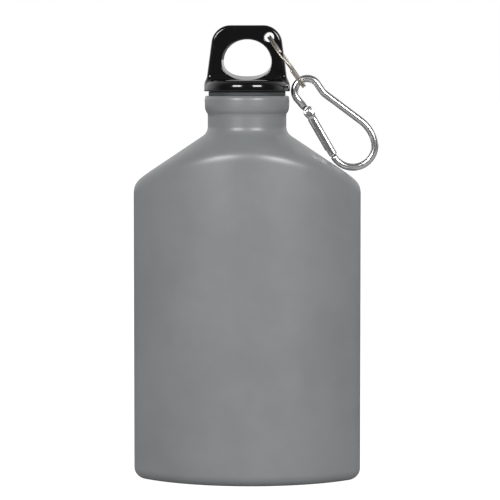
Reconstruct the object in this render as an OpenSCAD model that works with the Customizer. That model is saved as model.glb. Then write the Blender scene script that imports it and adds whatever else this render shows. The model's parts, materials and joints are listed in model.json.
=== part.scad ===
// A flat drinking flask. A pressed aluminium shell has a lens-shaped section and
// conical shoulders. A moulded screw stopper with a finger loop closes its neck,
// and a split ring through the loop's corner carries a small keychain carabiner.
//
// Millimetres. The origin is the centre of the base, on the surface that the
// flask stands on. X runs across its width, Y through its depth and Z up.

/* [Shell] */
// Width of the flask across its two rounded edges
body_w = 100; // [94:1:110]
// Depth of the flask between the crowns of its two faces
body_d = 56; // [50:1:62]
// Radius of the rounded upright edges
edge_r = 10; // [8:1:12]
// Radius of the rounding round the base
base_r = 5; // [3:0.5:6]
// Thickness of the aluminium
wall = 1; // [0.8:0.1:1.4]
// Height at which the shoulder cone meets the upright edges
shoulder_z = 131.2; // [110:0.1:131.2]
// Fall of the shoulder cone, in degrees below level
shoulder_fall = 33.8; // [30:0.2:33.8]

/* [Neck] */
// Outer radius of the neck
neck_r = 17.3; // [17:0.1:17.6]
// Outer radius of the rolled collar
collar_r = 18.6; // [18:0.1:19]
// Height of the rim that the washer seals on
rim_z = 169.2; // [169:0.1:172]
// Radius of the hollow between the shoulder and the neck
neck_hollow_r = 5; // [3:0.5:6]
// Height of the threaded ring in the neck
insert_h = 12; // [11:0.5:13]

/* [Screw thread] */
// Rise of the thread in one turn
pitch = 4; // [3.5:0.1:4.2]
// Radius of the stopper's plug under the thread
plug_r = 13.2; // [12.8:0.1:13.4]
// Height of the thread above the plug
thread_h = 1.15; // [0.8:0.05:1.2]
// Gap between the two threads
thread_gap = 0.3; // [0.25:0.05:0.35]

/* [Stopper] */
// Thickness of the washer
washer_t = 1.9; // [1.5:0.1:2.5]
// Outer radius of the washer
washer_r = 16.9; // [16.5:0.1:17.5]
// Radius of the round skirt
skirt_r = 18.9; // [18.4:0.1:19.4]
// Height of the round skirt
skirt_h = 4.3; // [4:0.1:5]
// Height of the whole stopper above the washer
stopper_h = 28.9; // [28:0.1:32]
// Thickness of the flat finger loop
loop_t = 8.5; // [7:0.5:10]
// Half the width of the loop where it leaves the skirt
loop_foot = 18; // [17.5:0.1:18.2]
// Lean of the loop's sides, in degrees
loop_lean = 8.5; // [6:0.5:9]
// Radius of the loop's two top corners
loop_corner_r = 7.1; // [6:0.1:8]
// Width of the finger hole
finger_w = 21.9; // [20:0.1:22.5]
// Radius of the hole that the split ring goes through
ring_hole_r = 2.15; // [2.1:0.05:2.3]

/* [Split ring] */
// Radius of the split ring at the middle of its wire
ring_r = 12.9; // [12.7:0.05:13]
// Width of the wire, across the ring's face
wire_w = 1.5; // [1.2:0.1:1.5]
// Thickness of one turn of the wire
wire_t = 0.93; // [0.8:0.01:0.95]

/* [Carabiner] */
// Diameter of the frame's rod
rod_d = 3.3; // [3:0.1:3.4]
// Distance between the centres of the small and the large bend
clip_span = 31.1; // [30.5:0.1:31.5]
// Radius of the small bend, at the rod's centre
small_bend_r = 5.5; // [5.4:0.1:5.6]
// Radius of the large bend, at the rod's centre
large_bend_r = 9.6; // [9.4:0.1:9.6]
// Depth of the gate, seen from the front
gate_w = 4.2; // [4:0.1:4.4]
// Thickness of the gate's folded sheet
gate_sheet = 0.7; // [0.6:0.05:0.75]
// Diameter of the rivet that the gate turns on
rivet_d = 1.6; // [1.4:0.1:1.8]

/* [Hidden] */
$fn = 96;

shell_grey = [0.27, 0.28, 0.29];
dark_grey = [0.09, 0.09, 0.10];
black = [0.02, 0.02, 0.02];
polished = [0.75, 0.76, 0.78];
nickel = [0.62, 0.60, 0.56];

half_w = body_w / 2;
half_d = body_d / 2;
// The section is two wide arcs joined by two edge arcs that they touch
edge_x = half_w - edge_r;
face_r = (edge_x * edge_x + half_d * half_d - edge_r * edge_r) / (2 * (half_d - edge_r));
face_y = face_r - half_d;
touch_angle = atan2(face_y, edge_x);
neck_hollow_z = cone_z(neck_r + neck_hollow_r) + neck_hollow_r / cos(shoulder_fall);
collar_edge_r = 1.2;
collar_swell_z = rim_z - 8;
collar_full_z = rim_z - 2;

insert_bore_r = plug_r + 0.4;
insert_z = rim_z - insert_h;
thread_low_z = rim_z - 10.2;
thread_turns = 2.1;
rib_foot = 1.2;
rib_crest = 0.5;

washer_top_z = rim_z + washer_t;
stopper_top_z = washer_top_z + stopper_h;
plug_low_z = rim_z - 11.5;
plug_wall = 2;
disc_t = 1.5;
socket_h = 2.6;

corner_z = stopper_top_z - loop_corner_r;
corner_x = loop_side(corner_z) - loop_corner_r / cos(loop_lean);
finger_z = stopper_top_z - 15.6;
finger_up = 10.1;
finger_down = 8;
ring_hole_x = 9.8;
ring_hole_z = stopper_top_z - 5.2;

// The split ring hangs from its hole and the carabiner hangs from the ring
ring_fall = 54.8;
ring_drop = 0.2;
ring_x = ring_hole_x + (ring_r + ring_drop) * cos(ring_fall);
ring_z = ring_hole_z - (ring_r + ring_drop) * sin(ring_fall);
ring_end_x = ring_x + ring_r * cos(ring_fall);
ring_end_z = ring_z - ring_r * sin(ring_fall);
hang_gap = 0.3;
// From the ring's far end to the middle of the small bend
hang_reach = small_bend_r - rod_d / 2 - wire_w / 2 - hang_gap;
clip_x = ring_end_x + hang_reach * cos(ring_fall);
clip_z = ring_end_z - hang_reach * sin(ring_fall);
clip_fall = 49.8;

// In the carabiner's own plane, x runs from its small bend to its large bend
spine_angle = 13;
spine_out = 10.7;
leave_angle = -5.8;
hinge_x = 7.4;
hinge_y = -small_bend_r;
nose_angle = 261;
gate_angle = atan2(-hinge_y, clip_span - hinge_x)
           - asin(large_bend_r / norm([clip_span - hinge_x, hinge_y]));
gate_len = 21.9;
gate_t = 3.3;
tongue_t = 1.5;
channel_t = gate_t - 2 * gate_sheet;

// Height of the shoulder cone at a distance from the axis, or of a skin inside it
function cone_z(r, inset = 0) =
    shoulder_z + (half_w - r) * tan(shoulder_fall) - inset / cos(shoulder_fall);

function ease(t) = t * t * (3 - 2 * t);

function arc(centre, r, from, to, steps) =
    [for (i = [0 : steps]) let (a = from + (to - from) * i / steps) centre + r * [cos(a), sin(a)]];

// Half the width of the finger loop at a height
function loop_side(z) = loop_foot - (z - washer_top_z - skirt_h) * tan(loop_lean);

// ---- Flask ----

// The lens section, drawn in by an inset, as points walked anticlockwise
function section(inset) =
    let (face = [0, -face_y], edge = [edge_x, 0],
         right = arc(edge, edge_r - inset, -touch_angle, touch_angle, 10),
         far = arc(face, face_r - inset, touch_angle, 180 - touch_angle, 24))
    concat(right, inner_points(far),
           [for (p = right) -p], inner_points([for (p = far) -p]));

function inner_points(line) = [for (i = [1 : len(line) - 2]) line[i]];

// The upright form of lens section with its rounded base, or a skin inside it
module upright_form(inset) {
    round_r = base_r - inset;
    round_steps = 6;
    levels = concat(
        [for (i = [0 : round_steps]) let (a = 90 * i / round_steps)
            [inset + round_r * (1 - sin(a)), inset + round_r * (1 - cos(a))]],
        [[inset, rim_z + 10]]);
    count = len(section(0));
    last = len(levels) - 1;
    polyhedron(
        [for (level = levels, p = section(level[0])) [p[0], p[1], level[1]]],
        concat(
            [[for (k = [0 : count - 1]) k], [for (k = [count - 1 : -1 : 0]) count * last + k]],
            [for (i = [0 : last - 1], k = [0 : count - 1])
                [count * i + k, count * (i + 1) + k,
                 count * (i + 1) + (k + 1) % count, count * i + (k + 1) % count]]));
}

// Everything inside the shoulder cone, the neck and the collar
module bell() {
    hollow = [neck_r + neck_hollow_r, neck_hollow_z];
    rotate_extrude()
        polygon(concat(
            [[0, -1], [body_w, -1], [body_w, cone_z(body_w)]],
            arc(hollow, neck_hollow_r, 270 - shoulder_fall, 180, 8),
            [for (i = [0 : 8]) [neck_r + (collar_r - neck_r) * ease(i / 8),
                                collar_swell_z + (collar_full_z - collar_swell_z) * i / 8]],
            arc([collar_r - collar_edge_r, rim_z - collar_edge_r], collar_edge_r, 0, 90, 5),
            [[0, rim_z]]));
}

module bell_inside() {
    hollow = [neck_r + neck_hollow_r, neck_hollow_z];
    rotate_extrude()
        polygon(concat(
            [[0, -1], [body_w, -1], [body_w, cone_z(body_w, wall)]],
            arc(hollow, neck_hollow_r + wall, 270 - shoulder_fall, 180, 8),
            [[neck_r - wall, rim_z + 5], [0, rim_z + 5]]));
}

module flask_body() {
    color(shell_grey)
        difference() {
            intersection() {
                upright_form(0);
                bell();
            }
            intersection() {
                upright_form(wall);
                bell_inside();
            }
        }
}

// ---- Screw thread ----

// A ridge wound round the Z axis, or the groove for one with a gap all round it
module helix_ridge(foot_r, crest_r, foot, crest, from_turn, to_turn, fade) {
    steps = ceil((to_turn - from_turn) * 30);
    rings = [for (i = [0 : steps])
        let (turn = from_turn + (to_turn - from_turn) * i / steps,
             rise = min(1, fade * i / steps + 0.15, fade * (steps - i) / steps + 0.15),
             top_r = foot_r + (crest_r - foot_r) * rise,
             z = thread_low_z + pitch * turn)
        for (p = [[foot_r, -foot], [top_r, -crest], [top_r, crest], [foot_r, foot]])
            [p[0] * cos(360 * turn), p[0] * sin(360 * turn), z + p[1]]];
    polyhedron(rings, concat(
        [[3, 2, 1, 0], [for (k = [0 : 3]) 4 * steps + k]],
        [for (i = [0 : steps - 1], k = [0 : 3])
            [4 * i + k, 4 * i + (k + 1) % 4, 4 * (i + 1) + (k + 1) % 4, 4 * (i + 1) + k]]),
        convexity = 10);
}

module neck_insert() {
    outer_r = neck_r - wall;
    color(polished)
        translate([0, 0, insert_z])
            resize([2 * outer_r, 2 * outer_r, insert_h])
                translate([0, 0, -insert_z])
                    difference() {
                        translate([0, 0, insert_z]) cylinder(insert_h, r = outer_r, $fn = 72);
                        translate([0, 0, insert_z - 1])
                            cylinder(insert_h + 2, r = insert_bore_r, $fn = 72);
                        helix_ridge(insert_bore_r - 0.5, plug_r + thread_h + thread_gap,
                                    rib_foot + thread_gap, rib_crest + thread_gap,
                                    -1.4, 3.6, 40);
                    }
}

module stopper_plug() {
    plug_h = washer_top_z + socket_h - plug_low_z;
    thread_r = plug_r + thread_h;
    color(dark_grey)
        translate([0, 0, plug_low_z])
            resize([0, 0, plug_h])
                translate([0, 0, -plug_low_z])
                    difference() {
                        union() {
                            translate([0, 0, plug_low_z]) cylinder(plug_h, r = plug_r, $fn = 72);
                            helix_ridge(plug_r - 0.4, thread_r, rib_foot, rib_crest,
                                        0, thread_turns, 14);
                        }
                        translate([0, 0, plug_low_z - 1])
                            cylinder(plug_h - 1, r = plug_r - plug_wall, $fn = 72);
                    }
}

// ---- Stopper ----

module plug_disc() {
    color(dark_grey)
        translate([0, 0, plug_low_z]) cylinder(disc_t, r = plug_r - plug_wall);
}

module sealing_washer() {
    color(dark_grey)
        translate([0, 0, rim_z])
            difference() {
                cylinder(washer_t, r = washer_r);
                translate([0, 0, -1]) cylinder(washer_t + 2, r = plug_r + 0.1);
            }
}

module loop_outline() {
    foot_x = loop_side(washer_top_z);
    polygon(concat(
        [[-foot_x, washer_top_z], [foot_x, washer_top_z]],
        arc([corner_x, corner_z], loop_corner_r, loop_lean, 90, 12),
        arc([-corner_x, corner_z], loop_corner_r, 90, 180 - loop_lean, 12)));
}

// An egg outline, rounder above its widest line and flatter below it
module finger_outline() {
    polygon([for (a = [0 : 5 : 355])
        let (up = a < 180, power = up ? 1 : 0.88, height = up ? finger_up : finger_down)
        [finger_w / 2 * sign(cos(a)) * pow(abs(cos(a)), power),
         finger_z + height * sign(sin(a)) * pow(abs(sin(a)), power)]]);
}

module skirt() {
    round_r = 2.5;
    translate([0, 0, washer_top_z])
        rotate_extrude() {
            square([skirt_r - round_r, skirt_h]);
            square([skirt_r, skirt_h - round_r]);
            intersection() {
                translate([skirt_r - round_r, skirt_h - round_r]) circle(round_r);
                square([skirt_r, skirt_h]);
            }
        }
}

module stopper_cap() {
    color(black)
        difference() {
            union() {
                skirt();
                rotate([90, 0, 0]) linear_extrude(loop_t, center = true) loop_outline();
            }
            rotate([90, 0, 0]) linear_extrude(2 * loop_t, center = true) finger_outline();
            translate([ring_hole_x, 0, ring_hole_z])
                rotate([90, 0, 0]) cylinder(2 * loop_t, r = ring_hole_r, center = true);
            translate([0, 0, washer_top_z - 1]) cylinder(socket_h + 1, r = plug_r);
        }
}

// ---- Split ring ----

// Two flat turns of wire side by side, joined by one short crossing at the front
module split_ring() {
    turn_gap = 0.04;
    side = (wire_t + turn_gap) / 2;
    jog_from = 325;
    jog_to = 358;
    sweep = jog_to + jog_from;
    step = 7.5;
    steps = round(sweep / step);
    corner = 0.22;
    section = [[-wire_w / 2, -wire_t / 2 + corner], [-wire_w / 2 + corner, -wire_t / 2],
               [wire_w / 2 - corner, -wire_t / 2], [wire_w / 2, -wire_t / 2 + corner],
               [wire_w / 2, wire_t / 2 - corner], [wire_w / 2 - corner, wire_t / 2],
               [-wire_w / 2 + corner, wire_t / 2], [-wire_w / 2, wire_t / 2 - corner]];
    points = [for (i = [0 : steps])
        let (a = sweep * i / steps,
             t = min(1, max(0, (a - jog_from) / (jog_to - jog_from))),
             shift = side * (2 * ease(t) - 1))
        for (p = section) [(ring_r + p[0]) * cos(a), (ring_r + p[0]) * sin(a), shift + p[1]]];
    color(nickel)
        translate([ring_x, 0, ring_z])
            rotate([0, ring_fall, 0])
                rotate([0, 0, 270 - (jog_from + jog_to) / 2])
                    polyhedron(points, concat(
                        [[for (k = [7 : -1 : 0]) k], [for (k = [0 : 7]) 8 * steps + k]],
                        [for (i = [0 : steps - 1], k = [0 : 7])
                            [8 * i + k, 8 * i + (k + 1) % 8,
                             8 * (i + 1) + (k + 1) % 8, 8 * (i + 1) + k]]),
                        convexity = 10);
}

// ---- Carabiner ----

// Puts what is drawn in the carabiner's own plane where it hangs on the flask
module hang_clip() {
    translate([clip_x, 0, clip_z])
        rotate([90, 0, 0])
            rotate([0, 0, -clip_fall])
                children();
}

// Puts what is drawn along x from the hinge where the closed gate lies
module along_gate() {
    translate([hinge_x, hinge_y, 0]) rotate([0, 0, gate_angle]) children();
}

// Stations [x, y, heading] round an arc, walked clockwise when it ends lower than it starts
function walk(centre, r, from, to, step) =
    let (steps = ceil(abs(to - from) / step), ahead = to > from ? 90 : -90)
    [for (i = [0 : steps]) let (a = from + (to - from) * i / steps)
        [centre[0] + r * cos(a), centre[1] + r * sin(a), a + ahead]];

module carabiner_frame() {
    large = [clip_span, 0];
    spine_normal = [-sin(spine_angle), cos(spine_angle)];
    // The spine runs into the large bend through a wider arc that touches both
    wide_angle = 69;
    wide_r = large_bend_r + (spine_out - large_bend_r)
           / (1 - cos(90 + spine_angle - wide_angle));
    wide = large - (wide_r - large_bend_r) * [cos(wide_angle), sin(wide_angle)];
    // The rod leaves the small bend steeply and turns out into the spine
    leave = small_bend_r * [-sin(leave_angle), cos(leave_angle)];
    leave_dir = [cos(leave_angle), sin(leave_angle)];
    run = ((large + spine_out * spine_normal - leave) * spine_normal)
        / (leave_dir * spine_normal);
    kink_r = 6;
    kink_in = leave + (run - kink_r * tan((spine_angle - leave_angle) / 2)) * leave_dir;
    kink_centre = kink_in + kink_r * [-sin(leave_angle), cos(leave_angle)];
    rod_start = hinge_x - 3.1;
    nose = large + large_bend_r * [cos(nose_angle), sin(nose_angle)];
    path = concat(
        [[rod_start, hinge_y, 180]],
        walk([0, 0], small_bend_r, 270, 90 + leave_angle, 8),
        walk(kink_centre, kink_r, leave_angle - 90, spine_angle - 90, 7),
        walk(wide, wide_r, 90 + spine_angle, wide_angle, 6),
        [for (w = walk(large, large_bend_r, wide_angle, nose_angle - 360, 7)) if (w[2] < wide_angle - 91) w]);
    sides = 12;
    last = len(path) - 1;
    rings = [for (w = path, k = [0 : sides - 1])
        let (out = rod_d / 2 * cos(360 * k / sides))
        [w[0] - out * sin(w[2]), w[1] + out * cos(w[2]), rod_d / 2 * sin(360 * k / sides)]];
    color(polished)
        hang_clip()
            difference() {
                union() {
                    polyhedron(rings, concat(
                        [[for (k = [0 : sides - 1]) k], [for (k = [sides - 1 : -1 : 0]) sides * last + k]],
                        [for (i = [0 : last - 1], k = [0 : sides - 1])
                            [sides * i + k, sides * (i + 1) + k,
                             sides * (i + 1) + (k + 1) % sides, sides * i + (k + 1) % sides]]),
                        convexity = 10);
                    // Flat tongue that the gate's cheeks straddle at the hinge
                    translate([rod_start - 1, hinge_y - rod_d / 2 + 0.2, -tongue_t / 2])
                        cube([hinge_x - rod_start + 1, rod_d - 0.4, tongue_t]);
                    translate([hinge_x, hinge_y, -tongue_t / 2])
                        cylinder(tongue_t, d = rod_d - 0.4);
                    // Flat nose that the closed gate stops against
                    translate([nose[0], nose[1], 0])
                        rotate([0, 0, nose_angle - 270])
                            translate([-2.1, -1.1, -tongue_t / 2])
                                cube([3.1, 2.2, tongue_t]);
                }
                translate([hinge_x, hinge_y, -rod_d]) cylinder(2 * rod_d, d = rivet_d);
            }
}

// A folded sheet channel: two cheeks, an inner web and an outer web short of the nose
module carabiner_gate() {
    head_r = 2.5;
    web_from = 3;
    outer_web_to = gate_len - 3.4;
    color(polished)
        hang_clip()
            along_gate()
                difference() {
                    union() {
                        for (side = [-1, 1])
                            translate([0, 0, side * (gate_t - gate_sheet) / 2 - gate_sheet / 2]) {
                                cylinder(gate_sheet, r = head_r);
                                translate([0, -gate_w / 2, 0]) cube([gate_len, gate_w, gate_sheet]);
                            }
                        translate([web_from, gate_w / 2 - gate_sheet, -gate_t / 2])
                            cube([gate_len - web_from, gate_sheet, gate_t]);
                        translate([web_from, -gate_w / 2, -gate_t / 2])
                            cube([outer_web_to - web_from, gate_sheet, gate_t]);
                        // Crimp that the spring bears on
                        translate([13, -gate_w / 2, -gate_t / 2]) cube([0.8, gate_w, gate_t]);
                    }
                    translate([0, 0, -gate_t]) cylinder(2 * gate_t, d = rivet_d + 0.1);
                }
}

module gate_rivet() {
    head_t = 0.4;
    head_gap = 0.05;
    head_z = gate_t / 2 + head_gap;
    color(nickel)
        hang_clip()
            translate([hinge_x, hinge_y, 0]) {
                cylinder(2 * head_z, d = rivet_d, center = true);
                for (side = [0, 1])
                    mirror([0, 0, side]) translate([0, 0, head_z]) cylinder(head_t, d = rivet_d + 1);
            }
}

// A compression spring in the gate's channel, drawn at its working length
module gate_spring() {
    coil_r = 0.55;
    wire_r = 0.2;
    coils = 8;
    length = 7.6;
    start = 5.2;
    steps = coils * 12;
    sides = 6;
    points = [for (i = [0 : steps])
        let (a = 30 * i, x = start + length * i / steps)
        for (k = [0 : sides - 1])
            let (b = 360 * k / sides, r = coil_r + wire_r * cos(b))
            [x + wire_r * sin(b), r * cos(a), r * sin(a)]];
    color(nickel)
        hang_clip()
            along_gate()
                polyhedron(points, concat(
                    [[for (k = [sides - 1 : -1 : 0]) k], [for (k = [0 : sides - 1]) sides * steps + k]],
                    [for (i = [0 : steps - 1], k = [0 : sides - 1], half = [0, 1])
                        let (a = sides * i + k, b = sides * i + (k + 1) % sides,
                             c = sides * (i + 1) + (k + 1) % sides, d = sides * (i + 1) + k)
                        half == 0 ? [a, b, c] : [a, c, d]]),
                    convexity = 10);
}

module spring_plunger() {
    color(nickel)
        hang_clip()
            along_gate()
                translate([rod_d / 2 + 0.1, 0, 0])
                    rotate([0, 90, 0]) cylinder(3.2, d = channel_t - 0.3);
}

flask_body();
neck_insert();
sealing_washer();
stopper_cap();
stopper_plug();
plug_disc();
split_ring();
carabiner_frame();
carabiner_gate();
gate_rivet();
gate_spring();
spring_plunger();
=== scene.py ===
import json
import math

import bmesh
import bpy
import numpy as np
from bpy.props import FloatProperty, FloatVectorProperty, IntProperty, PointerProperty
from mathutils import Matrix, Vector


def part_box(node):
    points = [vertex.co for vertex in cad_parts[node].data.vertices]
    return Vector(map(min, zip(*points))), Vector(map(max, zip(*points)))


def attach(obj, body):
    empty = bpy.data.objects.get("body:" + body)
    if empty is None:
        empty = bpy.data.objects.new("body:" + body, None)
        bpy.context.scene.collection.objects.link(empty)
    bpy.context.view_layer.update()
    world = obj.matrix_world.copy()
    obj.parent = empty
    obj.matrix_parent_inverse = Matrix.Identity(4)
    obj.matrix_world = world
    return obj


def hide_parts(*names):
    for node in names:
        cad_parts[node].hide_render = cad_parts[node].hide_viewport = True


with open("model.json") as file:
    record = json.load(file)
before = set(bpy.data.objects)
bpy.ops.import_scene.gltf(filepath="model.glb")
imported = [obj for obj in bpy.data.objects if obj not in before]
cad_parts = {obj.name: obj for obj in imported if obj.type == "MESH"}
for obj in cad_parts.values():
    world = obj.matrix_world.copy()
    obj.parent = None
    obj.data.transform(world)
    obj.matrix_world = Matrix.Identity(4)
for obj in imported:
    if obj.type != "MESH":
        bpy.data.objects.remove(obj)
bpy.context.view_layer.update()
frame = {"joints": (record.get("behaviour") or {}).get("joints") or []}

bl_info = {
    "name": "Drinking Flask",
    "version": (1, 0, 0),
    "blender": (4, 5, 0),
    "location": "3D View > Sidebar > Flask",
    "description": "Builds a flat drinking flask with its screw stopper, split ring and carabiner",
    "category": "Add Mesh",
}

# Every size is in metres, in the frame's own axes: X across the flask, Y through it, Z up.
MM = 0.001
PIVOTS = {j["name"]: Vector(j["pos_m"]) for j in frame["joints"] if "pos_m" in j}
SHELL_LOW, SHELL_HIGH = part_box("flask_body")
WASHER_LOW, WASHER_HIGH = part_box("sealing_washer")
CAP_LOW, CAP_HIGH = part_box("stopper_cap")
PLUG_LOW, PLUG_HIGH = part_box("stopper_plug")
INSERT_LOW, INSERT_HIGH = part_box("neck_insert")
RING_LOW, RING_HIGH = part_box("split_ring")


# ---- Settings ----

def size(name, description, default):
    """A length that the user may change."""
    return FloatProperty(name=name, description=description, default=default, min=0.0,
                         precision=5, unit="LENGTH")


def turn(name, description, degrees):
    """An angle that the user may change."""
    return FloatProperty(name=name, description=description, default=math.radians(degrees),
                         unit="ROTATION")


def colour(name, description, default):
    """A linear colour that the user may change."""
    return FloatVectorProperty(name=name, description=description, default=default,
                               size=3, min=0.0, max=1.0, subtype="COLOR")


class ShellSettings(bpy.types.PropertyGroup):
    half_width: size("Half width", "Half the width across the rounded edges", SHELL_HIGH.x)
    half_depth: size("Half depth", "Half the depth between the crowns of the faces", SHELL_HIGH.y)
    edge_r: size("Edge radius", "Radius of the upright edges", 10 * MM)
    base_r: size("Base radius", "Radius of the rounding round the base", 5 * MM)
    dish: size("Base dish", "Depth of the dish pressed into the underside", 1.3 * MM)
    wall: size("Wall", "Thickness of the aluminium", 1 * MM)
    shoulder_z: size("Shoulder height", "Where the shoulder cone meets the edges", 131.2 * MM)
    shoulder_fall: turn("Shoulder fall", "Slope of the shoulder cone below level", 33.8)
    crease: size("Crease blend", "Width of the soft bend between face and shoulder", 8.5 * MM)
    hollow_r: size("Neck hollow", "Radius of the hollow under the neck", 5 * MM)
    neck_r: size("Neck radius", "Outer radius of the neck", 17.3 * MM)
    collar_r: size("Collar radius", "Outer radius of the rolled collar", 18.6 * MM)
    columns: IntProperty(name="Columns", description="Steps round the section",
                         default=336, min=48)
    paint: colour("Paint", "Colour of the baked coat", (0.258, 0.270, 0.276))


class StopperSettings(bpy.types.PropertyGroup):
    skirt_r: size("Skirt radius", "Radius of the round skirt", CAP_HIGH.x)
    skirt_h: size("Skirt height", "Height of the round skirt", 4.8 * MM)
    skirt_round: size("Skirt rounding", "Rounding of the skirt's upper edge", 3.4 * MM)
    loop_t: size("Loop thickness", "Thickness of the finger loop", 8.5 * MM)
    loop_foot: size("Loop foot", "Half the loop's width where it leaves the skirt", 17.7 * MM)
    loop_lean: turn("Loop lean", "Lean of the loop's sides", 7.6)
    corner_r: size("Corner radius", "Radius of the loop's top corners", 7.1 * MM)
    edge_round: size("Edge rounding", "Rounding along the loop's edges", 1.5 * MM)
    foot_blend: size("Foot blend", "Hollow between the loop and the skirt", 2.4 * MM)
    finger_w: size("Finger hole width", "Width of the finger hole", 21.9 * MM)
    finger_up: size("Finger hole rise", "Height of the hole above its widest line", 9.5 * MM)
    finger_down: size("Finger hole drop", "Depth of the hole below its widest line", 8.2 * MM)
    ring_hole_r: size("Ring hole radius", "Radius of the split ring's hole", 2.15 * MM)
    cell: size("Cell", "Spacing of the cells that the cap is drawn from", 0.33 * MM)
    plastic: colour("Plastic", "Colour of the moulded plastic", (0.0042, 0.0042, 0.0046))
    rubber: colour("Rubber", "Colour of the sealing washer", (0.085, 0.088, 0.092))


class ThreadSettings(bpy.types.PropertyGroup):
    pitch: size("Pitch", "Rise of the thread in one turn", 4 * MM)
    plug_r: size("Plug radius", "Radius of the plug under the thread", 13.2 * MM)
    low_z: size("Thread start", "Height at which the plug's thread starts", 159 * MM)
    metal: colour("Aluminium", "Colour of the turned aluminium", (0.79, 0.79, 0.80))


class RingSettings(bpy.types.PropertyGroup):
    radius: size("Ring radius", "Radius at the middle of the wire", 12.9 * MM)
    wire_w: size("Wire width", "Width of the wire across the ring's face", 1.5 * MM)
    wire_t: size("Wire thickness", "Thickness of one turn of the wire", 0.85 * MM)
    groove: size("Groove", "Gap between the two turns", 0.12 * MM)
    fall: turn("Fall", "Slope at which the ring hangs, below level", 54.8)
    nickel: colour("Nickel", "Colour of the plated wire", (0.78, 0.72, 0.64))


class CarabinerSettings(bpy.types.PropertyGroup):
    rod_r: size("Rod radius", "Radius of the bent rod", 1.65 * MM)
    span: size("Span", "Distance between the centres of the two bends", 31.1 * MM)
    small_r: size("Small bend", "Radius of the small bend", 5.5 * MM)
    large_r: size("Large bend", "Radius of the large bend", 9.6 * MM)
    fall: turn("Fall", "Slope from the small to the large bend, below level", 49.8)
    gate_l: size("Gate length", "Length of the gate from its rivet", 21.9 * MM)
    gate_w: size("Gate width", "Width of the gate, seen from the front", 4.2 * MM)
    gate_t: size("Gate thickness", "Thickness of the gate from front to back", 3.3 * MM)
    metal: colour("Aluminium", "Colour of the tumbled aluminium", (0.86, 0.86, 0.87))
    steel: colour("Steel", "Colour of the rivet and the spring", (0.62, 0.61, 0.59))


class StageSettings(bpy.types.PropertyGroup):
    distance: size("Camera distance", "From the flask's axis to the camera", 1.150)
    height: size("Camera height", "Height of the camera above the floor", 0.1710)
    azimuth: turn("Camera azimuth", "Turn of the camera round the flask", 2.5)
    aim_z: size("Aim height", "Height of the point that the camera looks at", 0.10135)
    aim_side: size("Aim side", "How far right of the axis the camera looks", 1.3 * MM)
    lens: FloatProperty(name="Lens", description="Focal length of the camera in millimetres",
                        default=188.3, min=10.0)
    box_turn: turn("Softbox turn", "Angle of each softbox to the camera's left or right", 28.0)
    box_rise: turn("Softbox rise", "Angle of each softbox above level", 22.0)
    box_away: size("Softbox distance", "From the flask to each softbox", 1.2)
    box_width: size("Softbox width", "Width of each softbox", 0.46)
    box_height: size("Softbox height", "Height of each softbox", 0.36)
    softbox: FloatProperty(name="Softbox power", description="Power of each softbox, in watts",
                           default=6.5, min=0.0)
    surround: FloatProperty(name="Surround", description="Brightness of the white surround",
                            default=1.0, min=0.0)


# ---- Node trees, written as expressions ----

class Term:
    """A node's output socket that Python arithmetic can be done on."""

    def __init__(self, graph, socket):
        self.graph = graph
        self.socket = socket

    def out(self, name):
        """Another output of the same node."""
        return Term(self.graph, self.socket.node.outputs[name])

    def __add__(self, other):
        return self.graph.maths("ADD", self, other)

    def __sub__(self, other):
        return self.graph.maths("SUBTRACT", self, other)

    def __rsub__(self, other):
        return self.graph.maths("SUBTRACT", other, self)

    def __mul__(self, other):
        return self.graph.maths("MULTIPLY", self, other)

    def __truediv__(self, other):
        return self.graph.maths("DIVIDE", self, other)

    __radd__ = __add__
    __rmul__ = __mul__


class Graph:
    """A node tree that is written with one call for each node."""

    def __init__(self, tree):
        self.tree = tree

    def node(self, kind, settings=None, inputs=None, output=0):
        """Adds a node, sets it up, feeds its sockets and returns one of its outputs, if any."""
        made = self.tree.nodes.new(kind)
        for name, value in (settings or {}).items():
            setattr(made, name, value)
        for key, value in (inputs or {}).items():
            if isinstance(value, Term):
                self.tree.links.new(value.socket, made.inputs[key])
            else:
                made.inputs[key].default_value = value
        return Term(self, made.outputs[output]) if len(made.outputs) else None

    def maths(self, operation, *values):
        """A Math node on terms and numbers."""
        return self.node("ShaderNodeMath", {"operation": operation}, dict(enumerate(values)))

    def eased(self, value, low, high):
        """0 below low, 1 above high and a smooth step between them."""
        return self.node("ShaderNodeMapRange", {"interpolation_type": "SMOOTHSTEP"},
                         {"Value": value, "From Min": low, "From Max": high})

    def tint(self, factor, one, other):
        """A colour between two colours."""
        return self.node("ShaderNodeMix", {"data_type": "RGBA"},
                         {0: factor, 6: (*one, 1.0), 7: (*other, 1.0)}, 2)


# ---- Materials ----

class Finish(Graph):
    """A material that is built up from the piece's own coordinates."""

    def __init__(self, name):
        self.material = bpy.data.materials.new(name)
        self.material.use_nodes = True
        super().__init__(self.material.node_tree)
        self.tree.nodes.clear()
        self.at = self.node("ShaderNodeTexCoord").out("Object")

    def noise(self, scale, detail, roughness, stretch=None):
        """Noise over the piece, drawn out along the axes when stretch is given."""
        at = self.at
        if stretch is not None:
            at = self.node("ShaderNodeVectorMath", {"operation": "MULTIPLY"}, {0: at, 1: stretch})
        return self.node("ShaderNodeTexNoise", None,
                         {"Vector": at, "Scale": scale, "Detail": detail,
                          "Roughness": roughness})

    def tones(self, colour, level, low, high, dark, bright):
        """A colour times dark where a level is under low, and times bright where it is over high."""
        base = Vector(colour)
        return self.tint(self.eased(level, low, high), base * dark, base * bright)

    def bump(self, height, strength, distance):
        """A Bump node that is fed by a height."""
        return self.node("ShaderNodeBump", None,
                         {"Height": height, "Strength": strength, "Distance": distance})

    def shade(self, inputs):
        """Ends the material in one shader and returns it."""
        shader = self.node("ShaderNodeBsdfPrincipled", None, inputs)
        self.node("ShaderNodeOutputMaterial", None, {"Surface": shader})
        return self.material


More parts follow.
